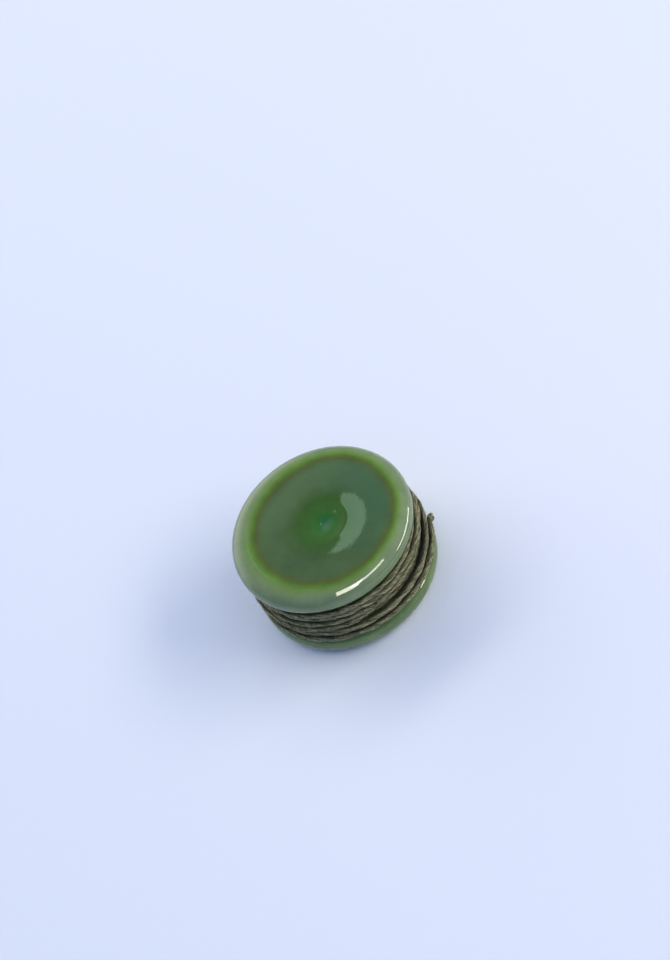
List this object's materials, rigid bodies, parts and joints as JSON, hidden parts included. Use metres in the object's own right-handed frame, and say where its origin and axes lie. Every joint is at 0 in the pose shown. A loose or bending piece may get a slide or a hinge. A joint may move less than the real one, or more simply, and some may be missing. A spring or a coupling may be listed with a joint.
{
  "type": "yo-yo",
  "caption": "Round green glazed yo-yo: two turned halves screwed onto a short axle, with natural twine wound in the groove between their rims.",
  "frame": {"origin": "on the spin axis, in the plane of the rear half's flat land, which the yo-yo lies on", "axes": "+Z along the spin axis, from the rear half to the front half; +X and +Y across the face, with the string's end knot 14 degrees from +X towards -Y"},
  "size_m": [0.0594, 0.0576, 0.0304],
  "materials": {
    "glaze": "gloss",
    "twine": "matte",
    "hardwood": "satin",
    "brass": "satin",
    "steel": "satin",
    "washer_fibre": "matte"
  },
  "bodies": {
    "spool": {"rear_half": "glaze", "rear_insert": "brass", "rear_washer": "washer_fibre", "axle_rod": "steel", "axle_sleeve": "hardwood"},
    "front_lift": {"front_washer": "washer_fibre"},
    "front": {"front_half": "glaze", "front_insert": "brass"},
    "string": {"string_axle_loop": "twine", "string_winding": "twine", "string_end_knot": "twine"}
  },
  "joints": [
    {"name": "string_spin", "type": "hinge", "parent": "spool", "child": "string", "pos_m": [0, 0, 0.0152], "axis": [0, 0, 1], "continuous": true},
    {"name": "front_rise", "type": "slide", "parent": "spool", "child": "front_lift", "axis": [0, 0, 1], "range_m": [0, 0.0042]},
    {"name": "front_unscrew", "type": "hinge", "parent": "front_lift", "child": "front", "pos_m": [0, 0, 0.0152], "axis": [0, 0, 1], "range_deg": [0, 2160]}
  ],
  "couplings": [
    {"joint": "front_rise", "follows": "front_unscrew", "m_per_rad": 0.00011141}
  ]
}
